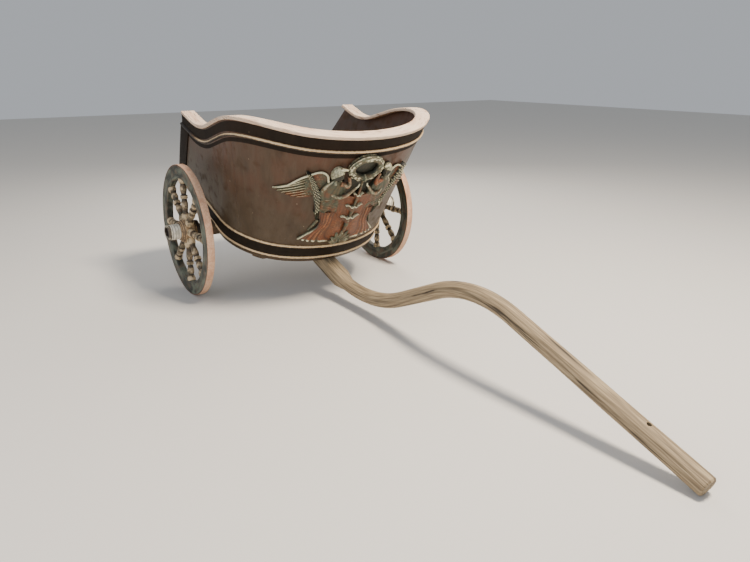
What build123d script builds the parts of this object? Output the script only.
from build123d import *
from math import asin, atan2, cos, degrees, hypot, radians, sin, sqrt
import os

# A two-wheeled chariot, parked with its pole resting on the ground.
# Millimetres. +X is forward along the pole, +Y is the chariot's left, +Z is up, the ground is z = 0.

# Wheels
wheel_radius = 457.0          # a 36 inch wheel
wheel_track = 1606.0          # between the middles of the two wheels
wheel_width = 49.0
tyre_thickness = 8.0
tyre_chamfer = 1.5
felloe_depth = 88.0
felloe_chamfer = 6.0
spoke_count = 8
spoke_radius = 29.0           # of the turned spoke at its thickest
nave_radius = 80.0
nave_end_radius = 60.0
nave_inboard = 75.0           # from the wheel's middle to the nave's inner end
nave_outboard = 58.0
nave_swell = 32.0             # half the width of the belt that carries the spokes
band_thickness = 5.0
band_width = 20.0
nose_radius = 53.5            # the pale sleeve at the outer end of the nave
nose_wall = 13.5
nose_length = 85.0
nose_chamfer = 2.0

# Axle
axle_section = 82.0           # the square timber
axle_chamfer = 6.0
arm_radius = 28.0
arm_chamfer = 3.0
arm_clearance = 0.05          # between the arm and the bore of the nave
collar_radius = 38.0
collar_length = 23.0          # between the timber's end and the nave's play
end_play = 5.0                # between the nave and the collars at its two ends
washer_thickness = 6.0
arm_past_washer = 40.0
linchpin_radius = 5.0
linchpin_length = 66.0

# Pole, drawn in the tub's own frame: along the floor and up from the axle
pole_reach = 3339.0
pole_rise = 693.0
pole_radius = 47.0
pole_square = 100.0
pole_square_round = 8.0
pole_seat = 47.5              # from the axle down to the middle of the square run, which is let in under it
pole_turn = 43.0              # the slope of the steepest run, in degrees
pole_low_bend = 1038.0
pole_high_bend = 796.0
pole_bend_start = 736.0
pole_square_turn = 3.5        # degrees of the low bend where the square timber ends
pole_stop_turn = 5.0          # degrees over which it turns round
pole_tail = 560.0             # how far it runs back under the floor
stop_flat = 0.05              # what is left of the flats where the stop meets the round
tip_chamfer = 6.0
yoke_pin_radius = 11.0
yoke_pin_setback = 300.0      # from the pole's tip

# Tub: two outlines, at the foot and just above the rail's crest, with straight lofted sides between them
wall_thickness = 36.0
wall_rear = 444.0             # from the axle back to the open end, at the top of the tail
tail_slant = 25.0             # degrees that the rear edge runs back towards the foot
panel_joint = 345.0           # ahead of the axle, where the front panel meets the sides
foot_height = -6.0            # above the axle
foot_half_width = 600.0
foot_front = 609.0
foot_corner_radius = 485.0
foot_front_radius = 780.0
foot_toe = -0.6               # degrees that the sides spread towards the rear
brim_margin = 43.0            # from the rail's crest up to this outline
brim_half_width = 706.0
brim_front = 903.0
brim_corner_radius = 605.0
brim_front_radius = 925.0
brim_toe = 3.7

# Sheer of the tub: level at the tail, a double curve up, level at the front
tail_height = 685.0
crest_height = 1037.0
sheer_start = 305.0           # behind the axle
sheer_slope = 32.5
sheer_low_bend = 512.0
sheer_high_bend = 1070.0

# Rail and mouldings
rail_thickness = 22.0
rail_overhang = 8.0
rail_width = 93.0
upper_bead_drop = 98.5        # from the top of the rail to the top of the bead
bead_height = 24.0
bead_proud = 13.0
band_proud = 6.0
lower_bead_top = 45.5         # above the axle
base_bead_top = 149.0
border_width = 124.0
border_proud = 8.0

# Relief on the front: a wreath that two winged figures hold up. Heights are above the axle.
wreath_height = 815.0
wreath_half_width = 103.0     # to the middle of the ring
wreath_half_height = 70.0
wreath_end_radius = 62.0
wreath_ring_radius = 24.0
wreath_proud = 18.0           # of the middle of the ring
head_out = 190.0              # from the middle of the tub
head_height = 792.0
head_radius = 48.0
chin_radius = 32.0
chin_drop = 38.0
head_setback = 12.0           # of its middle behind the wall's foremost line
# columns: how far it stands out, its outline as (out from the middle, height)
figure_layers = (
    (28.0, ((1, 165), (118, 208), (253, 210), (298, 214), (305, 228), (248, 263), (223, 323), (201, 383),
            (213, 463), (1, 463))),
    (36.0, ((1, 425), (60, 430), (89, 450), (119, 480), (229, 484), (224, 550), (234, 602), (1, 602))),
    (42.0, ((60, 600), (60, 625), (103, 673), (133, 723), (163, 745), (215, 745), (248, 723), (258, 673),
            (243, 600))),
    (46.0, ((42, 694), (36, 668), (60, 622), (100, 622), (112, 655), (80, 660), (58, 694))),
    (44.0, ((148, 690), (140, 760), (128, 800), (104, 800), (100, 760), (112, 690))),
)
wing_layer = (
    16.0, ((496, 619), (444, 654), (394, 714), (354, 759), (314, 782), (279, 786), (249, 769), (229, 734),
           (240, 600), (324, 586), (364, 581), (414, 586), (444, 592), (496, 608)),
)
fold_layer = (
    38.0, ((375, 775), (340, 690), (320, 620), (295, 540), (265, 460), (252, 410), (248, 340), (216, 372),
           (208, 430), (235, 470), (242, 550), (262, 630), (292, 700), (335, 760), (365, 785)),
)
palmette_layer = (
    34.0, ((0, 315), (40, 300), (62, 262), (80, 225), (118, 200), (112, 172), (0, 165)),
)

# Floor
floor_thickness = 25.0
floor_gap = 0.4               # between the floor and the walls
plank_count = 6
bearer_width = 60.0
bearer_places = (-520.0, 400.0)   # along the floor from the axle, the rear bearer and the front one
strap_width = 45.0
strap_thickness = 6.0
strap_foot = 55.0
strap_gap = 0.3

brim_height = crest_height + brim_margin
beam_half = axle_section / 2
pole_drop = -pole_seat

# The chariot leans forward about its axle until the pole's tip touches the ground
tip_foot = pole_reach - tip_chamfer
tip_height = pole_rise - pole_radius
lean = atan2(tip_height, tip_foot) + asin(wheel_radius / hypot(tip_foot, tip_height))
nose_ahead = pole_reach * cos(lean) + (pole_rise + pole_radius - tip_chamfer) * sin(lean)
tail_tan = sin(radians(tail_slant)) / cos(radians(tail_slant))
tail_foot = wall_rear + (tail_height - foot_height) * tail_tan
tail_behind = tail_foot * cos(lean) - foot_height * sin(lean)
axle_x = (tail_behind - nose_ahead) / 2
axle_point = (axle_x, 0, wheel_radius)
forward = (cos(lean), 0, -sin(lean))
upward = (sin(lean), 0, cos(lean))

floor_plane = Plane(origin=axle_point, x_dir=forward, z_dir=upward)
side_plane = Plane(origin=axle_point, x_dir=forward, z_dir=(0, -1, 0))
cross_plane = Plane(origin=axle_point, x_dir=(0, 1, 0), z_dir=forward)
beyond = 2 * wheel_track      # reaches past everything that is trimmed

# columns: height, half width, front, corner radius, front radius, toe
foot_outline = (
    foot_height, foot_half_width, foot_front, foot_corner_radius, foot_front_radius, foot_toe,
)
brim_outline = (
    brim_height, brim_half_width, brim_front, brim_corner_radius, brim_front_radius, brim_toe,
)
form_rear = wall_rear + brim_height  # the forms run on behind the tub, then the rear edge is trimmed

os.makedirs("parts", exist_ok=True)


def finish(part, label):
    part.label = label
    export_step(part, "parts/" + label + ".step")


# Tub forms


def outline_face(row, inset):
    """The tub's outline at one height, moved in by an inset."""
    height, half_width, front, corner_radius, front_radius, toe = row
    front_centre = front - front_radius
    corner_y = half_width - corner_radius
    corner_x = front_centre + sqrt((front_radius - corner_radius) ** 2 - corner_y**2)
    join = degrees(atan2(corner_y, corner_x - front_centre))
    r_corner = corner_radius - inset
    r_front = front_radius - inset
    side_x = corner_x + r_corner * sin(radians(toe))
    side_y = corner_y + r_corner * cos(radians(toe))
    rear_y = side_y + (side_x + form_rear) * sin(radians(toe)) / cos(radians(toe))
    with BuildSketch(floor_plane.offset(height)) as outline:
        with BuildLine():
            Line((-form_rear, -rear_y), (side_x, -side_y))
            CenterArc((corner_x, -corner_y), r_corner, toe - 90, 90 - toe - join)
            CenterArc((front_centre, 0), r_front, -join, 2 * join)
            CenterArc((corner_x, corner_y), r_corner, join, 90 - toe - join)
            Line((side_x, side_y), (-form_rear, rear_y))
            Line((-form_rear, rear_y), (-form_rear, -rear_y))
        make_face()
    return outline.sketch


def tub_form(inset):
    """The solid inside the tub's surface, moved in by an inset, out where it is negative."""
    sections = [outline_face(row, inset) for row in (foot_outline, brim_outline)]
    with BuildPart() as form:
        loft(sections, ruled=True)
    return form.part


sheer_tan = sin(radians(sheer_slope)) / cos(radians(sheer_slope))
sheer_bends = sheer_low_bend + sheer_high_bend
sheer_bend_rise = sheer_bends * (1 - cos(radians(sheer_slope)))
sheer_straight = (crest_height - tail_height - sheer_bend_rise) / sheer_tan
sheer_end = -sheer_start + sheer_bends * sin(radians(sheer_slope)) + sheer_straight


def below_sheer(drop):
    """All that lies under a line parallel to the sheer, right across the tub."""
    low_centre = (-sheer_start, tail_height + sheer_low_bend)
    high_centre = (sheer_end, crest_height - sheer_high_bend)
    base = foot_height - axle_section
    with BuildPart() as under:
        with BuildSketch(side_plane):
            with BuildLine():
                low = CenterArc(low_centre, sheer_low_bend + drop, -90, sheer_slope)
                high = CenterArc(high_centre, sheer_high_bend - drop, 90 + sheer_slope, -sheer_slope)
                Line(low @ 1, high @ 0)
                Polyline(low @ 0, (-beyond, tail_height - drop), (-beyond, base), (beyond, base),
                         (beyond, crest_height - drop), high @ 1)
            make_face()
        extrude(amount=beyond, both=True)
    return under.part


def ahead_of_tail(setback):
    """All that lies ahead of a line parallel to the slanting rear edge, right across the tub."""
    high = brim_height + wall_thickness
    low = foot_height - axle_section
    top_x = -wall_rear - setback / cos(radians(tail_slant))
    with BuildPart() as ahead:
        with BuildSketch(side_plane):
            with BuildLine():
                Polyline((top_x - (tail_height - high) * tail_tan, high), (top_x - (tail_height - low) * tail_tan, low),
                         (beyond, low), (beyond, high), close=True)
            make_face()
        extrude(amount=beyond, both=True)
    return ahead.part


def level_band(low, high):
    """The slab between two heights above the axle."""
    with BuildPart() as slab:
        with BuildSketch(floor_plane.offset(low)):
            Rectangle(beyond, beyond)
        extrude(amount=high - low)
    return slab.part


wall_face = tub_form(0)
tail_trim = ahead_of_tail(0)

# The slot in the tub's skirt that the axle passes through
with BuildPart() as axle_slot:
    with BuildSketch(side_plane):
        Rectangle(axle_section + 2 * strap_gap, axle_section + 2 * strap_gap)
    extrude(amount=beyond, both=True)

# The passage of the square pole, under the front wall and the bearers
with BuildPart() as pole_passage:
    with BuildSketch(cross_plane.offset(-beyond)):
        with Locations((0, pole_drop)):
            Rectangle(pole_square + 2 * strap_gap, pole_square)
    extrude(amount=2 * beyond)

# Wall panels: left side, front and right side
under_rail_top = below_sheer(0)
under_rail = below_sheer(rail_thickness)

with BuildPart() as tub_wall:
    add(wall_face)
    add(tub_form(wall_thickness), mode=Mode.SUBTRACT)
    add(tail_trim, mode=Mode.INTERSECT)
    add(under_rail, mode=Mode.INTERSECT)
    add(axle_slot.part, mode=Mode.SUBTRACT)

with BuildPart() as front_half:
    with BuildSketch(cross_plane.offset(panel_joint)):
        Rectangle(beyond, beyond)
    extrude(amount=beyond)

with BuildPart() as tub_front:
    add(tub_wall.part)
    add(front_half.part, mode=Mode.INTERSECT)
    add(pole_passage.part, mode=Mode.SUBTRACT)
finish(tub_front.part, "tub_front")

with BuildPart() as tub_sides:
    add(tub_wall.part)
    add(front_half.part, mode=Mode.SUBTRACT)
for side_solid, name in zip(tub_sides.solids().sort_by(Axis.Y), ("tub_side_right", "tub_side_left")):
    finish(side_solid, name)

# Top rail, a flat board that follows the sheer all round
with BuildPart() as rail:
    add(tub_form(-rail_overhang))
    add(tub_form(rail_width - rail_overhang), mode=Mode.SUBTRACT)
    add(ahead_of_tail(rail_overhang), mode=Mode.INTERSECT)
    add(under_rail_top, mode=Mode.INTERSECT)
    add(under_rail, mode=Mode.SUBTRACT)

with BuildPart() as rail_front:
    add(rail.part)
    add(front_half.part, mode=Mode.INTERSECT)
finish(rail_front.part, "rail_front")

with BuildPart() as rail_sides:
    add(rail.part)
    add(front_half.part, mode=Mode.SUBTRACT)
for side_solid, name in zip(rail_sides.solids().sort_by(Axis.Y), ("rail_right", "rail_left")):
    finish(side_solid, name)

# Mouldings on the outside of the wall


def skin(proud):
    """What lies between the wall's face and a surface that stands out from it."""
    with BuildPart() as layer:
        add(tub_form(-proud))
        add(wall_face, mode=Mode.SUBTRACT)
        add(tail_trim, mode=Mode.INTERSECT)
    return layer.part


bead_skin = skin(bead_proud)
under_bead = below_sheer(upper_bead_drop + bead_height)

with BuildPart() as upper_bead:
    add(bead_skin)
    add(below_sheer(upper_bead_drop), mode=Mode.INTERSECT)
    add(under_bead, mode=Mode.SUBTRACT)
finish(upper_bead.part, "upper_bead")

for top, name in ((lower_bead_top, "base_bead_lower"), (base_bead_top, "base_bead_upper")):
    with BuildPart() as base_bead:
        add(bead_skin)
        add(level_band(top - bead_height, top), mode=Mode.INTERSECT)
        add(axle_slot.part, mode=Mode.SUBTRACT)
    finish(base_bead.part, name)

with BuildPart() as base_band:
    add(skin(band_proud))
    add(level_band(lower_bead_top, base_bead_top - bead_height), mode=Mode.INTERSECT)
    add(axle_slot.part, mode=Mode.SUBTRACT)
finish(base_band.part, "base_band")

with BuildPart() as rear_borders:
    add(skin(border_proud))
    add(level_band(base_bead_top, crest_height), mode=Mode.INTERSECT)
    add(under_bead, mode=Mode.INTERSECT)
    add(ahead_of_tail(-border_width), mode=Mode.SUBTRACT)
for side_solid, name in zip(rear_borders.solids().sort_by(Axis.Y), ("rear_border_right", "rear_border_left")):
    finish(side_solid, name)

# Relief on the front panel


def relief(layer, side):
    """A flat piece of the relief that follows the wall, cut to its outline on one side of the middle."""
    proud, outline = layer
    with BuildPart() as piece:
        with BuildSketch(cross_plane):
            with BuildLine():
                Polyline(*[(side * out, height) for out, height in outline], close=True)
            make_face()
        extrude(amount=beyond)
        add(tub_form(-proud), mode=Mode.INTERSECT)
        add(wall_face, mode=Mode.SUBTRACT)
    return piece.part


def front_at(height):
    """How far ahead of the axle the wall's face is, in the middle, at a height."""
    return foot_front + (brim_front - foot_front) * (height - foot_height) / (brim_height - foot_height)


front_tilt = atan2(brim_front - foot_front, brim_height - foot_height)
wreath_plane = Plane(
    origin=floor_plane.from_local_coords((front_at(wreath_height), 0, wreath_height)),
    x_dir=(0, 1, 0),
    z_dir=(cos(lean + front_tilt), 0, -sin(lean + front_tilt)),
).offset(wreath_proud)
end_out = wreath_half_width - wreath_end_radius
end_rise = wreath_half_height - wreath_end_radius
flat_centre = (end_out**2 - end_rise**2) / (2 * end_rise)
flat_radius = wreath_half_height + flat_centre
end_turn = degrees(atan2(flat_centre, end_out))
with BuildPart() as wreath:
    with BuildLine(wreath_plane):
        first_end = CenterArc((end_out, 0), wreath_end_radius, -end_turn, 2 * end_turn)
        CenterArc((0, -flat_centre), flat_radius, end_turn, 180 - 2 * end_turn)
        CenterArc((-end_out, 0), wreath_end_radius, 180 - end_turn, 2 * end_turn)
        CenterArc((0, flat_centre), flat_radius, 180 + end_turn, 180 - 2 * end_turn)
    with BuildSketch(Plane(origin=first_end @ 0, z_dir=first_end % 0)):
        Circle(wreath_ring_radius)
    sweep()
    add(wall_face, mode=Mode.SUBTRACT)
finish(wreath.part, "wreath")

palmette = relief(palmette_layer, 1) + relief(palmette_layer, -1)
finish(palmette, "palmette")

head_ahead = front_at(head_height) - head_setback
for side, name in ((1, "left"), (-1, "right")):
    fold = relief(fold_layer, side)
    head_point = floor_plane.from_local_coords((head_ahead, side * head_out, head_height))
    with BuildPart() as victory:
        for layer in figure_layers:
            add(relief(layer, side))
        with BuildSketch(Plane(origin=head_point, x_dir=(0, 1, 0), z_dir=forward)):
            with BuildLine():
                CenterArc((0, 0), head_radius, 0, 90)
                Polyline((0, head_radius), (0, -chin_drop - chin_radius))
                CenterArc((0, -chin_drop), chin_radius, -90, 90)
                Line((chin_radius, -chin_drop), (head_radius, 0))
            make_face()
        revolve(axis=Axis(head_point, upward))
        add(wall_face, mode=Mode.SUBTRACT)
        add(wreath.part, mode=Mode.SUBTRACT)
        add(palmette, mode=Mode.SUBTRACT)
        add(fold, mode=Mode.SUBTRACT)
    figure = victory.solids().sort_by(SortBy.VOLUME)[-1]
    finish(figure, "victory_" + name)

    with BuildPart() as wing:
        add(relief(wing_layer, side))
        add(fold)
        add(figure, mode=Mode.SUBTRACT)
    finish(wing.part, "wing_" + name)

# Floor planks, laid fore and aft on the axle and the bearers
floor_inside = tub_form(wall_thickness + floor_gap) & tail_trim
floor_low = beam_half
floor_high = floor_low + floor_thickness
floor_width = 2 * (foot_half_width - wall_thickness)
plank_width = floor_width / plank_count
for index in range(plank_count):
    plank_y = (index - (plank_count - 1) / 2) * plank_width
    outermost = index in (0, plank_count - 1)
    with BuildPart() as plank:
        add(floor_inside)
        with BuildSketch(floor_plane.offset(floor_low)):
            with Locations((0, plank_y)):
                Rectangle(beyond, plank_width - floor_gap)
            if outermost:
                with Locations((0, plank_y * (1 + 1 / (plank_count - 1)))):
                    Rectangle(beyond, plank_width - floor_gap)
        extrude(amount=floor_thickness, mode=Mode.INTERSECT)
    finish(plank.part, "floor_plank_" + str(index + 1))

# Bearers under the floor, let in between the walls and over the pole
for place, name in zip(bearer_places, ("bearer_rear", "bearer_front")):
    with BuildPart() as bearer:
        add(floor_inside)
        with BuildSketch(side_plane):
            with Locations((place, (floor_low + foot_height) / 2)):
                Rectangle(bearer_width, floor_low - foot_height)
        extrude(amount=beyond, both=True, mode=Mode.INTERSECT)
        underside = bearer.faces().sort_by(Axis(axle_point, upward))[0]
        extrude(underside, amount=foot_height + beam_half)
        add(pole_passage.part, mode=Mode.SUBTRACT)
    finish(bearer.part, name)

# Axle timber and its two turned iron arms
wheel_middle = wheel_track / 2
collar_end = wheel_middle - nave_inboard - end_play
axle_half_length = collar_end - collar_length
with BuildPart() as axle_beam:
    with BuildSketch(side_plane):
        Rectangle(axle_section, axle_section)
    extrude(amount=axle_half_length, both=True)
    chamfer(axle_beam.faces().sort_by(Axis.Y)[0].edges(), axle_chamfer)
    chamfer(axle_beam.faces().sort_by(Axis.Y)[-1].edges(), axle_chamfer)
finish(axle_beam.part, "axle_beam")

washer_start = wheel_middle + nave_outboard + end_play
arm_end = washer_start + washer_thickness + arm_past_washer
pin_place = washer_start + washer_thickness + linchpin_radius
for side, name in ((1, "left"), (-1, "right")):
    outward = (0, side, 0)
    radial_plane = Plane(origin=(axle_x, 0, wheel_radius), x_dir=outward, z_dir=(side, 0, 0))
    arm_axis = Axis((axle_x, 0, wheel_radius), outward)
    with BuildPart() as arm:
        with BuildSketch(radial_plane):
            with BuildLine():
                Polyline(
                    (axle_half_length, 0),
                    (axle_half_length, collar_radius),
                    (collar_end, collar_radius),
                    (collar_end, arm_radius),
                    (arm_end, arm_radius),
                    (arm_end, 0),
                    close=True,
                )
            make_face()
        revolve(axis=arm_axis)
        chamfer(arm.faces().sort_by(Axis.Y)[-1 if side > 0 else 0].edges(), arm_chamfer)
        with BuildSketch(Plane.XY.offset(wheel_radius)):
            with Locations((axle_x, side * pin_place)):
                Circle(linchpin_radius)
        extrude(amount=linchpin_length, both=True, mode=Mode.SUBTRACT)
    finish(arm.part, "axle_arm_" + name)

    with BuildPart() as washer:
        with BuildSketch(Plane(origin=(axle_x, side * washer_start, wheel_radius), z_dir=outward)):
            Circle(collar_radius)
            Circle(arm_radius, mode=Mode.SUBTRACT)
        extrude(amount=washer_thickness)
    finish(washer.part, "arm_washer_" + name)

    with BuildPart() as linchpin:
        with BuildSketch(Plane.XY.offset(wheel_radius - linchpin_length / 2)):
            with Locations((axle_x, side * pin_place)):
                Circle(linchpin_radius)
        extrude(amount=linchpin_length)
    finish(linchpin.part, "linchpin_" + name)

# Pole: square under the tub, round from the stop onwards, swept along its own curve
turn_sin = sin(radians(pole_turn))
turn_cos = cos(radians(pole_turn))
pole_bends = pole_low_bend + pole_high_bend
pole_straight = (pole_rise - pole_drop - pole_bends * (1 - turn_cos)) / turn_sin
low_centre = (pole_bend_start, pole_drop + pole_low_bend)
high_centre = (pole_bend_start + pole_bends * turn_sin + pole_straight * turn_cos, pole_rise - pole_high_bend)
round_start = pole_square_turn + pole_stop_turn

with BuildPart() as pole:
    with BuildLine(side_plane):
        tail_line = Line((-pole_tail, pole_drop), (pole_bend_start, pole_drop))
        square_bend = CenterArc(low_centre, pole_low_bend, -90, pole_square_turn)
    with BuildSketch(cross_plane.offset(-pole_tail)):
        with Locations((0, pole_drop)):
            RectangleRounded(pole_square, pole_square, pole_square_round)
    sweep()
    with BuildSketch(side_plane):
        Rectangle(axle_section + 2 * strap_gap, axle_section)
    extrude(amount=beyond, both=True, mode=Mode.SUBTRACT)
with BuildPart() as pole_run:
    with BuildLine(side_plane):
        stop_bend = CenterArc(low_centre, pole_low_bend, round_start - 90, pole_turn - round_start)
        climb = Line(
            stop_bend @ 1, (high_centre[0] - pole_high_bend * turn_sin, high_centre[1] + pole_high_bend * turn_cos)
        )
        over = CenterArc(high_centre, pole_high_bend, 90 + pole_turn, -pole_turn)
        level = Line((high_centre[0], pole_rise), (pole_reach, pole_rise))
    with BuildSketch(Plane(origin=stop_bend @ 0, x_dir=(0, 1, 0), z_dir=stop_bend % 0)):
        Circle(pole_radius)
    sweep()
    chamfer(pole_run.faces().sort_by(Axis.X)[-1].edges(), tip_chamfer)
with BuildPart() as pole_stop:
    with BuildSketch(Plane(origin=square_bend @ 1, x_dir=(0, 1, 0), z_dir=square_bend % 1)):
        RectangleRounded(pole_square, pole_square, pole_square_round)
    with BuildSketch(Plane(origin=stop_bend @ 0, x_dir=(0, 1, 0), z_dir=stop_bend % 0)):
        RectangleRounded(2 * pole_radius, 2 * pole_radius, pole_radius - stop_flat)
    loft(ruled=True)
with BuildPart() as whole_pole:
    add(pole.part)
    add(pole_stop.part)
    add(pole_run.part)
    with BuildSketch(floor_plane.offset(pole_rise)):
        with Locations((pole_reach - yoke_pin_setback, 0)):
            Circle(yoke_pin_radius)
    extrude(amount=2 * pole_radius, both=True, mode=Mode.SUBTRACT)
finish(whole_pole.part, "pole")

# Iron straps that hang the pole from the axle and the bearers
strap_top = -beam_half
strap_low = pole_drop - pole_square / 2
strap_reach = pole_square / 2 + strap_gap
for place, name in ((bearer_places[0], "rear"), (bearer_places[1], "front")):
    with BuildPart() as strap:
        with BuildSketch(cross_plane.offset(place - strap_width / 2)):
            with BuildLine():
                Polyline(
                    (strap_reach, strap_top),
                    (strap_reach, strap_low - strap_gap),
                    (-strap_reach, strap_low - strap_gap),
                    (-strap_reach, strap_top),
                    (-strap_reach - strap_foot, strap_top),
                    (-strap_reach - strap_foot, strap_top - strap_thickness),
                    (-strap_reach - strap_thickness, strap_top - strap_thickness),
                    (-strap_reach - strap_thickness, strap_low - strap_gap - strap_thickness),
                    (strap_reach + strap_thickness, strap_low - strap_gap - strap_thickness),
                    (strap_reach + strap_thickness, strap_top - strap_thickness),
                    (strap_reach + strap_foot, strap_top - strap_thickness),
                    (strap_reach + strap_foot, strap_top),
                    close=True,
                )
            make_face()
        extrude(amount=strap_width)
    finish(strap.part, "pole_strap_" + name)

# Wheels
felloe_outer = wheel_radius - tyre_thickness
felloe_inner = felloe_outer - felloe_depth
bore_radius = arm_radius + arm_clearance
spoke_length = felloe_inner - nave_radius
# columns: share of the way from the nave to the felloe, share of the spoke's radius
spoke_turnings = (
    (-0.03, 0.95), (0.08, 1.0), (0.19, 0.69), (0.39, 0.83), (0.505, 0.66), (0.535, 0.93), (0.575, 0.93),
    (0.605, 0.62), (0.765, 0.86), (0.87, 0.66), (0.95, 0.97), (1.03, 0.97),
)
spoke_profile = [(nave_radius + share * spoke_length, part * spoke_radius) for share, part in spoke_turnings]

for side, name in ((1, "left"), (-1, "right")):
    centre = (axle_x, side * wheel_middle, wheel_radius)
    outward = (0, side, 0)
    wheel_axis = Axis(centre, outward)
    wheel_plane = Plane(origin=centre, x_dir=(1, 0, 0), z_dir=outward)
    radial_plane = Plane(origin=centre, x_dir=outward, z_dir=(side, 0, 0))
    prefix = "wheel_" + name + "_"

    with BuildPart() as tyre:
        with BuildSketch(wheel_plane.offset(-wheel_width / 2)):
            Circle(wheel_radius)
            Circle(felloe_outer, mode=Mode.SUBTRACT)
        extrude(amount=wheel_width)
        chamfer(tyre.edges().filter_by(GeomType.CIRCLE).sort_by(SortBy.RADIUS)[-2:], tyre_chamfer)
    finish(tyre.part, prefix + "tyre")

    with BuildPart() as felloe:
        with BuildSketch(wheel_plane.offset(-wheel_width / 2)):
            Circle(felloe_outer)
            Circle(felloe_inner, mode=Mode.SUBTRACT)
        extrude(amount=wheel_width)
        chamfer(felloe.edges().filter_by(GeomType.CIRCLE).sort_by(SortBy.RADIUS)[:2], felloe_chamfer)
    finish(felloe.part, prefix + "felloe")

    with BuildPart() as nave:
        with BuildSketch(radial_plane):
            with BuildLine():
                Polyline(
                    (-nave_inboard, bore_radius),
                    (-nave_inboard, nave_end_radius),
                    (-nave_inboard + band_width, nave_end_radius),
                    (-nave_swell, nave_radius),
                    (nave_swell, nave_radius),
                    (nave_outboard, nave_end_radius),
                    (nave_outboard, bore_radius),
                    close=True,
                )
            make_face()
        revolve(axis=wheel_axis)
    finish(nave.part, prefix + "nave")

    with BuildPart() as spokes:
        with BuildSketch(Plane(origin=centre, x_dir=(1, 0, 0), z_dir=(0, 1, 0))):
            with BuildLine():
                Polyline(
                    (spoke_profile[0][0], 0),
                    *spoke_profile,
                    (spoke_profile[-1][0], 0),
                    close=True,
                )
            make_face()
        revolve(axis=Axis(centre, (1, 0, 0)))
    with BuildPart() as spoke_ring:
        for step in range(spoke_count):
            add(spokes.part.rotate(wheel_axis, step * 360 / spoke_count))
        with BuildSketch(wheel_plane.offset(-nave_swell)):
            Circle(felloe_inner)
            Circle(nave_radius, mode=Mode.SUBTRACT)
        extrude(amount=2 * nave_swell, mode=Mode.INTERSECT)
    finish(spoke_ring.part, prefix + "spokes")

    with BuildPart() as band:
        with BuildSketch(wheel_plane.offset(-nave_inboard)):
            Circle(nave_end_radius + band_thickness)
            Circle(nave_end_radius, mode=Mode.SUBTRACT)
        extrude(amount=band_width)
    finish(band.part, prefix + "nave_band")

    with BuildPart() as nose:
        with BuildSketch(wheel_plane.offset(nave_outboard)):
            Circle(nose_radius)
            Circle(nose_radius - nose_wall, mode=Mode.SUBTRACT)
        extrude(amount=nose_length)
        chamfer(nose.faces().filter_by(GeomType.PLANE).sort_by(Axis.Y)[-1 if side > 0 else 0].edges(), nose_chamfer)
    finish(nose.part, prefix + "nose")

print("lean", round(degrees(lean), 2), "axle", round(axle_x, 1))
